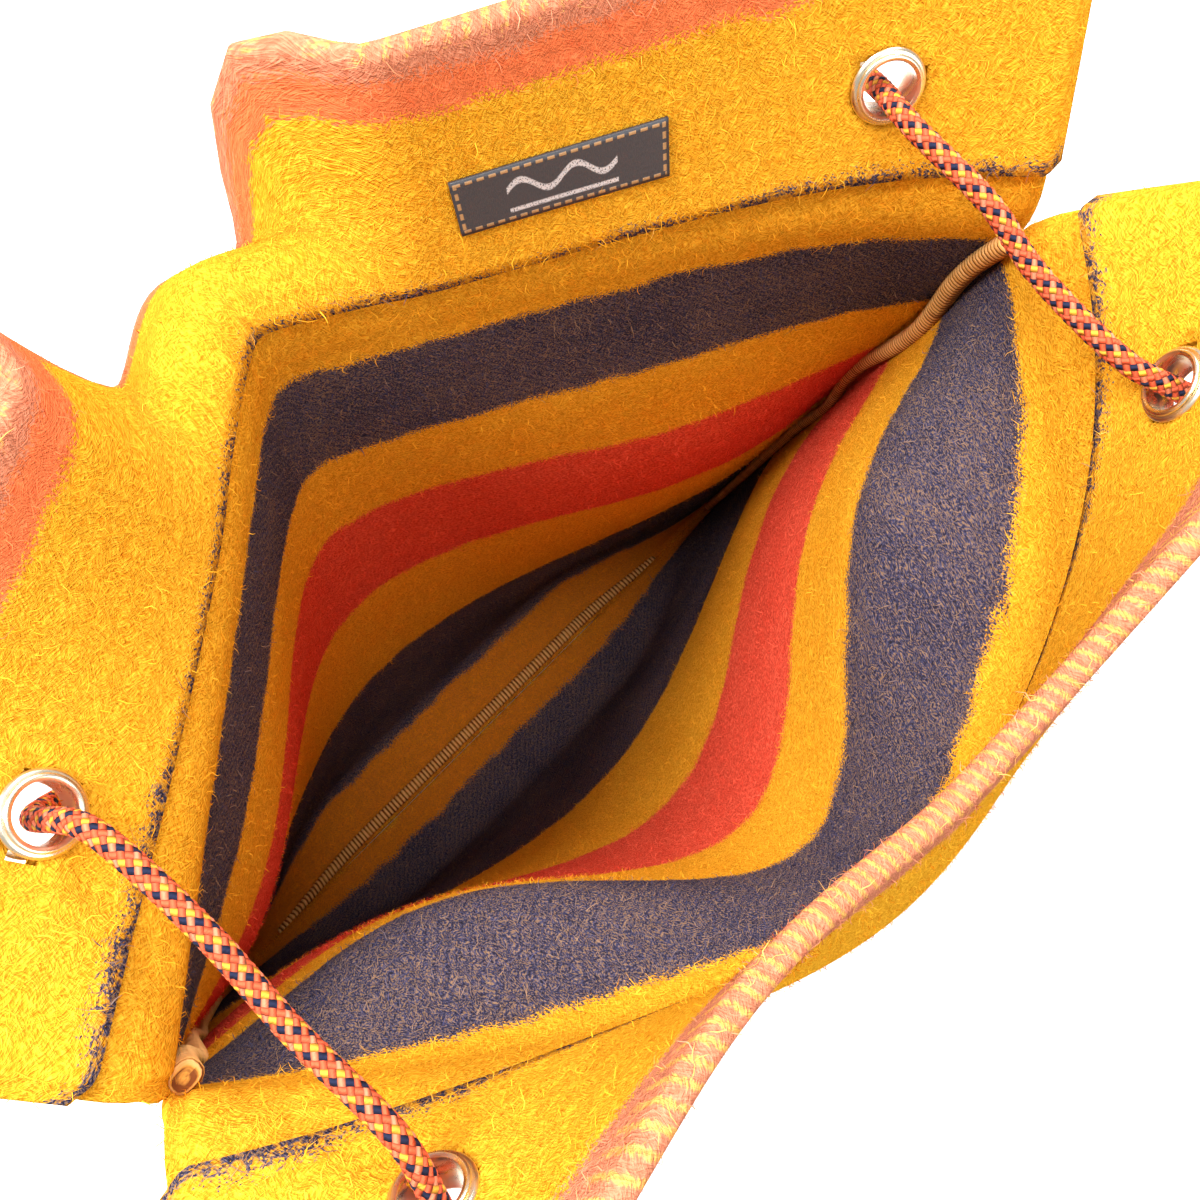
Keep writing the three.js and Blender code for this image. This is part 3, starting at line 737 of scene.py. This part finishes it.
class BagSizes(bpy.types.PropertyGroup):
    cloth_step: FloatProperty(
        name="Cloth step", description="Size of the cloth's mesh cells",
        default=3.2 * MM, min=0.001, unit="LENGTH",
    )
    cord_diameter: FloatProperty(
        name="Cord diameter", description="Diameter of the braided cord",
        default=6 * MM, min=0.001, unit="LENGTH",
    )
    cord_sides: IntProperty(
        name="Cord sides", description="Sides of the cord's section", default=20, min=8,
    )
    fibres: IntProperty(
        name="Fibres", description="Loose wool fibres on each face of a panel", default=30000, min=0,
    )
    eyelet_steps: IntProperty(
        name="Eyelet steps", description="Steps round each eyelet", default=64, min=12,
    )


def evenly(low, high, step):
    return np.linspace(low, high, max(2, round((high - low) / step) + 1))


def cloth_columns(step):
    """Places across a panel, closer together round its rolled side edges."""
    rim = np.array([0, 0.12, 0.25, 0.4, 0.55, 0.7, 0.85, 1.0]) * EDGE_ARC
    inner = WIDTH / 2 - EDGE_ARC
    flat = evenly(-inner, inner, step)
    return np.concatenate([rim - WIDTH / 2, flat[1:-1], WIDTH / 2 - rim[::-1]])


def cloth_rows(step):
    panel = evenly(0, HEIGHT, step)
    fold = np.linspace(HEIGHT, HEIGHT + FOLD_LENGTH, 9)
    facing = evenly(HEIGHT + FOLD_LENGTH, CLOTH_LENGTH, step)
    return np.concatenate([panel[:-1], fold, facing[1:]])


def cut_eyelet_holes(mesh):
    """Removes the cells of both layers that lie inside the eyelets' holes."""
    bm = bmesh.new()
    bm.from_mesh(mesh)
    layer = bm.loops.layers.uv["cloth"]
    middle_u = WIDTH / 2 - EYELET_FROM_EDGE
    past_fold = 2 * HEIGHT + FOLD_LENGTH
    gone = []
    for face in bm.faces:
        u = sum(loop[layer].uv.x for loop in face.loops) / 4 / MM
        s = sum(loop[layer].uv.y for loop in face.loops) / 4 / MM
        v = s if s < HEIGHT else past_fold - s
        if math.hypot(abs(u) - middle_u, v - EYELET_HEIGHT) < HOLE_RADIUS:
            gone.append(face)
    bmesh.ops.delete(bm, geom=gone, context="FACES")
    bm.to_mesh(mesh)
    bm.free()


def fibre_mesh(name, side, count, s_range, t, seed):
    """Short curled wool fibres that stand off a face of the cloth, each a ribbon of two cells."""
    rng = np.random.default_rng(seed)
    u = rng.uniform(-WIDTH / 2, WIDTH / 2, count)
    s = rng.uniform(*s_range, count)
    v = np.where(s > HEIGHT, 2 * HEIGHT + FOLD_LENGTH - s, s)
    from_eyelet = np.hypot(np.abs(u) - WIDTH / 2 + EYELET_FROM_EDGE, v - EYELET_HEIGHT)
    clear = from_eyelet > EYELET_FLANGE / 2 + CLEAR_OF_EYELET
    if side == "back":
        beside = np.abs(u - LABEL_CENTRE[0]) > LABEL_SIZE[0] / 2 + CLEAR_OF_LABEL
        above = np.abs(v - LABEL_CENTRE[1]) > LABEL_SIZE[1] / 2 + CLEAR_OF_LABEL
        clear &= beside | above | (s < HEIGHT)
    u, s = u[clear], s[clear]
    count = len(u)
    root = cloth(side, u, s, t)
    reach = 0.6
    right = cloth(side, np.minimum(u + reach, WIDTH / 2), s, t)
    left = cloth(side, np.maximum(u - reach, -WIDTH / 2), s, t)
    across = unit(right - left)
    along = cloth(side, u, s + reach, t) - cloth(side, u, s - reach, t)
    along = unit(along - across * np.sum(along * across, -1, keepdims=True))
    normal = np.cross(across, along)
    away = unit(cloth(side, u, s, t * 1.5) - root)
    normal *= np.sign(np.sum(normal * away, -1, keepdims=True))
    turn = rng.uniform(0, 2 * np.pi, count)
    curl = rng.normal(0, FIBRE_CURL, count)
    length = rng.uniform(*FIBRE_LENGTH, count)
    rise = rng.uniform(0.25, 1.0, count) ** 2 * FIBRE_RISE
    width = rng.uniform(*FIBRE_WIDTH, count)
    places = []
    for share, height, wide in FIBRE_POINTS:
        angle = turn + curl * share
        a = length * share * np.cos(angle)
        b = length * share * np.sin(angle)
        middle = root + (across * a[:, None] + along * b[:, None] + normal * (rise * height)[:, None]) * MM
        heading = angle + curl * 0.5
        sideways = -across * np.sin(heading)[:, None] + along * np.cos(heading)[:, None]
        for hand in (-1, 1):
            places.append(middle + sideways * (hand * width * wide)[:, None] * MM)
    points = np.stack(places, 1)
    mesh = bpy.data.meshes.new(name)
    mesh.vertices.add(count * 6)
    mesh.vertices.foreach_set("co", points.reshape(-1))
    first = (np.arange(count) * 6)[:, None, None]
    faces = (first + np.array([[0, 1, 3, 2], [2, 3, 5, 4]])[None]).reshape(-1)
    mesh.loops.add(len(faces))
    mesh.loops.foreach_set("vertex_index", faces)
    mesh.polygons.add(count * 2)
    mesh.polygons.foreach_set("loop_start", np.arange(count * 2) * 4)
    layer = mesh.uv_layers.new(name="cloth")
    layer.data.foreach_set("uv", np.repeat(np.stack([u, s], -1) * MM, 8, axis=0).ravel())
    mesh.update(calc_edges=True)
    mesh.shade_smooth()
    return mesh


class BAG_OT_panels(bpy.types.Operator):
    """Both cloth panels, each one folded sheet with its facing and its nap"""

    bl_idname = "blanket_bag.panels"
    bl_label = "Cloth panels"

    def execute(self, context):
        look = context.scene.bag_look
        sizes = context.scene.bag_sizes
        step = sizes.cloth_step / MM
        columns = cloth_columns(step)
        rows = cloth_rows(step)
        for side in OUTWARD:
            mesh = sheet_mesh(f"{side}_cloth", columns, rows, partial(cloth, side, t=0.0))
            cut_eyelet_holes(mesh)
            panel = new_object(f"{side}_cloth", mesh, wool(f"wool_{side}", side, look))
            solid = panel.modifiers.new("thickness", "SOLIDIFY")
            solid.thickness = THICKNESS * MM
            solid.offset = 0
            solid.use_even_offset = False
            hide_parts(f"{side}_panel")
            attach(panel, "root")
            # A lighter copy of the wool for the loose fibres: painted sheen
            nap = wool(f"nap_{side}", side, look, NAP_PAINTED_SHEEN, raised=False)
            seed = NAP_SEED[side]
            faces = (
                ("inner", INNER_NAP_END, THICKNESS / 2, seed),
                ("outer", OUTER_NAP_END, -THICKNESS / 2, seed + 1),
            )
            for word, reach, t, number in faces:
                mesh = fibre_mesh(f"{side}_{word}_nap", side, sizes.fibres, (1.0, reach), t, number)
                piece = new_object(f"{side}_{word}_nap", mesh, nap)
                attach(piece, "root")
        return {"FINISHED"}


def band_mesh(name, length, place, pitch):
    """Seam allowance wrapped in overlock thread: a soft band whose skin rises over each loop."""
    around = np.linspace(0, 1, 17)
    along = evenly(0, length, pitch / 5)

    def put(a, b):
        angle = 2 * np.pi * a
        rib = 1 + BAND_RIB * np.sin(2 * np.pi * (b / pitch + a))
        ends = np.minimum(np.minimum(b, length - b) / BAND_ROUND_END, 1)
        size = rib * np.sqrt(np.maximum(1 - (1 - ends) ** 2, BAND_LEAST_SIZE))
        soft = [np.sign(f) * np.abs(f) ** BAND_SQUARENESS * size for f in (np.cos(angle), np.sin(angle))]
        return place(b, *soft)

    return sheet_mesh(name, around, along, put, wrap=True)


class BAG_OT_seams(bpy.types.Operator):
    """Overlocked seam allowances at the sides and the bottom"""

    bl_idname = "blanket_bag.seams"
    bl_label = "Seams"

    def execute(self, context):
        look = context.scene.bag_look
        tones = (look.thread_shade, look.thread, look.thread_painted_highlight)
        material = overlock("overlock_thread", SIDE_PITCH, tones)
        inset = THICKNESS / 2 + BAND_SEAT + BAND_WIDTH / 2
        for hand, word in ((-1, "left"), (1, "right")):

            def side_place(along, a, b, hand=hand):
                v = along + BAND_END
                full = 1 + BAND_FULLNESS * smooth_step(v, *BAND_FULL_FROM)
                a = a * full
                b = b * full
                x = hand * (half_chord(v) - inset) + a * BAND_WIDTH / 2
                x = x + SIDEWAYS_LEAN * v / VENT - BOX_MIDDLE[0]
                z = THICKNESS / 2 + SEAM_RISE * v + CORNER_LIFT[hand > 0]
                sway = BAND_SWAY * smooth_step(v, *BAND_SWAY_FROM)
                sway = sway * np.sin(2 * np.pi * (VENT - v) / BAND_SWAY_PITCH)
                return np.stack([x, b * BAND_THICKNESS / 2 + sway - BOX_MIDDLE[1], z], -1) * MM

            self.add(f"{word}_overlock", VENT - BAND_END, side_place, material, f"{word}_seam_band")
        length = WIDTH - 2 * BOTTOM_BAND_FROM_SIDE
        offset = THICKNESS / 2 + BOTTOM_BAND_SEAT + BAND_THICKNESS / 2

        def bottom_place(along, a, b):
            v = BAND_THICKNESS / 2 + (1 + a) * BAND_WIDTH / 2
            return cloth("back", along - length / 2, v, offset + b * BAND_THICKNESS / 2)

        material = overlock("bottom_overlock_thread", BOTTOM_PITCH, tones)
        self.add("bottom_overlock", length, bottom_place, material, "bottom_seam_band", BOTTOM_PITCH)
        return {"FINISHED"}

    def add(self, name, length, place, material, node, pitch=SIDE_PITCH):
        band = new_object(name, band_mesh(name, length, place, pitch), material)
        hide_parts(node)
        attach(band, "root")


def turned_mesh(name, profiles, steps, matrix):
    """Rings turned about the local Z axis from closed profiles of (radius, height) in millimetres."""
    bm = bmesh.new()
    for profile in profiles:
        corners = [bm.verts.new((r * MM, 0, h * MM)) for r, h in profile]
        edges = [bm.edges.new((a, b)) for a, b in zip(corners, corners[1:] + corners[:1])]
        bmesh.ops.spin(
            bm, geom=corners + edges, cent=(0, 0, 0), axis=(0, 0, 1), dvec=(0, 0, 0),
            angle=2 * math.pi, steps=steps, use_merge=True,
        )
    bmesh.ops.remove_doubles(bm, verts=bm.verts, dist=1e-7)
    bmesh.ops.recalc_face_normals(bm, faces=bm.faces)
    bmesh.ops.transform(bm, matrix=matrix, verts=bm.verts)
    mesh = bpy.data.meshes.new(name)
    bm.to_mesh(mesh)
    bm.free()
    mesh.shade_smooth()
    return mesh


class BAG_OT_eyelets(bpy.types.Operator):
    """Four brass eyelets, each with its washer"""

    bl_idname = "blanket_bag.eyelets"
    bl_label = "Eyelets"

    def execute(self, context):
        material = brass(context.scene.bag_look)
        steps = context.scene.bag_sizes.eyelet_steps
        bore = EYELET_BORE / 2
        flange = EYELET_FLANGE / 2
        top = STACK + 2.6
        arc = [(math.cos(a), math.sin(a)) for a in np.linspace(0, math.pi / 2, 5)]
        eyelet = [(bore + 1.3 - 1.3 * c, -0.4 - 1.2 * s) for c, s in arc]
        eyelet += [
            (flange - 0.5, -1.3), (flange, -0.7), (flange - 0.1, -0.4), (bore + 0.6, -0.4),
            (bore + 0.6, STACK + 1.9), (bore + 1.6, STACK + 1.9), (bore + 1.5, top - 0.3),
            (bore + 0.9, top), (bore, top - 0.4),
        ]
        low = STACK + 0.4
        washer = [
            (bore + 0.9, low), (flange, low), (flange, low + 0.4),
            (flange - 0.6, low + 1.0), (flange - 1.6, low + 1.2), (bore + 0.9, low + 1.2),
        ]
        for side in OUTWARD:
            for hand, word in ((-1, "left"), (1, "right")):
                place, direction = eyelet_seat(side, hand)
                turn = Vector((0, 0, 1)).rotation_difference(Vector(direction)).to_matrix().to_4x4()
                name = f"{side}_{word}_grommet"
                mesh = turned_mesh(name, [eyelet, washer], steps, Matrix.Translation(place) @ turn)
                ring = new_object(name, mesh, material)
                bevel = ring.modifiers.new("edges", "BEVEL")
                bevel.width = 0.15 * MM
                bevel.segments = 2
                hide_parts(f"{side}_{word}_eyelet", f"{side}_{word}_washer")
                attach(ring, "root")
        return {"FINISHED"}


class BAG_OT_label(bpy.types.Operator):
    """Woven label on the back facing, with its stitches"""

    bl_idname = "blanket_bag.label"
    bl_label = "Label"

    def execute(self, context):
        look = context.scene.bag_look
        u0, v0 = LABEL_CENTRE
        columns = evenly(u0 - LABEL_SIZE[0] / 2, u0 + LABEL_SIZE[0] / 2, LABEL_CELL)
        rows = evenly(v0 - LABEL_SIZE[1] / 2, v0 + LABEL_SIZE[1] / 2, LABEL_CELL)
        offset = THICKNESS * 1.5 + LAYER_GAP + LABEL_SEAT
        mesh = sheet_mesh("woven_label", columns, rows, partial(cloth, "back", t=offset))
        label = new_object("woven_label", mesh, satin(look))
        solid = label.modifiers.new("thickness", "SOLIDIFY")
        solid.thickness = LABEL_THICKNESS * MM
        solid.offset = 0
        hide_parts("label")
        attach(label, "root")
        return {"FINISHED"}


def curve_through(points, step):
    """Points at even distances on a centripetal Catmull-Rom curve, in metres."""
    samples = 40
    passes = 30
    pull = 0.25
    p = np.asarray(points, float)
    p = np.concatenate([[2 * p[0] - p[1]], p, [2 * p[-1] - p[-2]]])
    dense = []
    for a, b, c, d in zip(p, p[1:], p[2:], p[3:]):
        t = np.cumsum([0.0] + [np.linalg.norm(n - m) ** 0.5 for m, n in ((a, b), (b, c), (c, d))])
        x = np.linspace(t[1], t[2], samples, endpoint=False)[:, None]
        ab = a + (b - a) * (x - t[0]) / (t[1] - t[0])
        bc = b + (c - b) * (x - t[1]) / (t[2] - t[1])
        cd = c + (d - c) * (x - t[2]) / (t[3] - t[2])
        abc = ab + (bc - ab) * (x - t[0]) / (t[2] - t[0])
        bcd = bc + (cd - bc) * (x - t[1]) / (t[3] - t[1])
        dense.append(abc + (bcd - abc) * (x - t[1]) / (t[2] - t[1]))
    dense = np.concatenate(dense + [p[-2][None]])
    length = np.concatenate([[0], np.cumsum(np.linalg.norm(np.diff(dense, axis=0), axis=1))])
    at = np.linspace(0, length[-1], round(length[-1] / step) + 1)
    line = np.stack([np.interp(at, length, dense[:, i]) for i in range(3)], -1)
    for _ in range(passes):
        line[1:-1] += pull * (line[2:] + line[:-2] - 2 * line[1:-1])
    return line * MM


def carried_frames(line):
    """Tangent and two square directions along a line, turned as little as possible."""
    tangent = unit(np.gradient(line, axis=0))
    across = np.empty_like(tangent)
    first = np.cross(tangent[0], (0, 0, 1))
    across[0] = first / np.linalg.norm(first)
    for i in range(1, len(line)):
        carried = across[i - 1] - tangent[i] * (across[i - 1] @ tangent[i])
        across[i] = carried / np.linalg.norm(carried)
    return tangent, across, np.cross(tangent, across)


class BAG_OT_cord(bpy.types.Operator):
    """Braided shoulder cord through the four eyelets, and its knot"""

    bl_idname = "blanket_bag.cord"
    bl_label = "Cord"

    def execute(self, context):
        look = context.scene.bag_look
        sizes = context.scene.bag_sizes
        radius = sizes.cord_diameter / 2
        line = curve_through(CORD_ROUTE, CORD_STEP)
        _, across, up = carried_frames(line)
        around = np.linspace(0, 1, sizes.cord_sides + 1)
        step = np.linalg.norm(line[1] - line[0]) / MM
        along = np.arange(len(line)) * step
        material = braid(look)

        def put(a, b):
            i = np.rint(b / step).astype(int)
            angle = 2 * np.pi * a
            right = BRAID_STRANDS * (a + b / BRAID_LAY)
            left = BRAID_STRANDS * (a - b / BRAID_LAY)
            over = (np.floor(right + 1e-6) + np.floor(left + 1e-6)) % 2
            hump = np.where(over > 0, np.abs(np.sin(np.pi * left)), np.abs(np.sin(np.pi * right)))
            size = radius * (BRAID_GROOVE + BRAID_HUMP * hump)
            outwards = across[i] * (np.cos(angle) * size)[:, None]
            return line[i] + outwards + up[i] * (np.sin(angle) * size)[:, None]

        mesh = sheet_mesh("shoulder_braid", around, along, put, wrap=True)
        cord = new_object("shoulder_braid", mesh, material)
        bm = bmesh.new()
        bmesh.ops.create_uvsphere(bm, u_segments=32, v_segments=20, radius=0.5)
        scale = Matrix.Diagonal((*(size * MM for size in KNOT_SIZE), 1))
        place = Matrix.Translation(Vector(KNOT_PLACE) * MM)
        bmesh.ops.transform(bm, matrix=place @ scale, verts=bm.verts)
        ball = bpy.data.meshes.new("knot_wrap")
        bm.to_mesh(ball)
        bm.free()
        ball.shade_smooth()
        ball.uv_layers.new(name="cloth")
        knot = new_object("knot_wrap", ball, material)
        for piece, node in ((cord, "shoulder_cord"), (knot, "cord_knot")):
            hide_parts(node)
            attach(piece, "root")
        return {"FINISHED"}


class BAG_OT_stage(bpy.types.Operator):
    """Floor, lights and camera"""

    bl_idname = "blanket_bag.stage"
    bl_label = "Stage"

    def execute(self, context):
        scene = context.scene
        bm = bmesh.new()
        bmesh.ops.create_grid(bm, x_segments=1, y_segments=1, size=FLOOR_HALF_SIZE)
        mesh = bpy.data.meshes.new("floor")
        bm.to_mesh(mesh)
        bm.free()
        white = Graph("floor_white").finish(
            Base_Color=(0.95, 0.95, 0.95), Roughness=0.9, Specular_IOR_Level=0.1,
        )
        floor = new_object("floor", mesh, white)

        angle = Vector(CAMERA_TURN)
        turn = Matrix.Rotation(angle.length, 3, angle.normalized())
        c, s = math.cos(CAMERA_ROLL), math.sin(CAMERA_ROLL)
        rows = turn @ Matrix(((c, -s, 0), (s, c, 0), (0, 0, 1)))
        lens = bpy.data.cameras.new("camera")
        lens.sensor_width = SENSOR_WIDTH
        lens.sensor_fit = "HORIZONTAL"
        lens.lens = lens.sensor_width * CAMERA_FOCAL_PX / PHOTO_PX
        lens.clip_start = 0.01
        camera = bpy.data.objects.new("camera", lens)
        camera.matrix_world = Matrix.Translation(CAMERA_PLACE) @ rows.transposed().to_4x4()
        scene.collection.objects.link(camera)
        scene.camera = camera

        for name, light in LIGHTS.items():
            self.light(name, *light)
        world = scene.world or bpy.data.worlds.new("world")
        scene.world = world
        world.use_nodes = True
        background = world.node_tree.nodes["Background"]
        background.inputs["Color"].default_value = (1, 1, 1, 1)
        background.inputs["Strength"].default_value = WORLD_STRENGTH
        scene.view_settings.view_transform = "Standard"
        return {"FINISHED"}

    def light(self, name, place, size, power):
        lamp = bpy.data.lights.new(name, "AREA")
        lamp.size = size
        lamp.energy = power
        thing = bpy.data.objects.new(name, lamp)
        thing.location = place
        aim = Vector(LIGHT_AIM) - Vector(place)
        thing.rotation_euler = aim.to_track_quat("-Z", "Y").to_euler()
        bpy.context.scene.collection.objects.link(thing)


class BAG_PT_panel(bpy.types.Panel):
    bl_idname = "BAG_PT_panel"
    bl_label = "Blanket bag"
    bl_space_type = "VIEW_3D"
    bl_region_type = "UI"
    bl_category = "Blanket bag"

    def draw(self, context):
        for group in (context.scene.bag_sizes, context.scene.bag_look):
            for key in group.__annotations__:
                self.layout.prop(group, key)
        for operator in OPERATORS:
            self.layout.operator(operator.bl_idname)


OPERATORS = (BAG_OT_stage, BAG_OT_cord, BAG_OT_panels, BAG_OT_seams, BAG_OT_eyelets, BAG_OT_label)
CLASSES = (BagLook, BagSizes, *OPERATORS, BAG_PT_panel)


def register():
    for cls in CLASSES:
        bpy.utils.register_class(cls)
    bpy.types.Scene.bag_look = PointerProperty(type=BagLook)
    bpy.types.Scene.bag_sizes = PointerProperty(type=BagSizes)


def unregister():
    del bpy.types.Scene.bag_look
    del bpy.types.Scene.bag_sizes
    for cls in reversed(CLASSES):
        bpy.utils.unregister_class(cls)


def main():
    register()
    for step in ("stage", "cord", "panels", "seams", "eyelets", "label"):
        getattr(bpy.ops.blanket_bag, step)()
    bpy.context.view_layer.update()


if __name__ == "__main__":
    main()
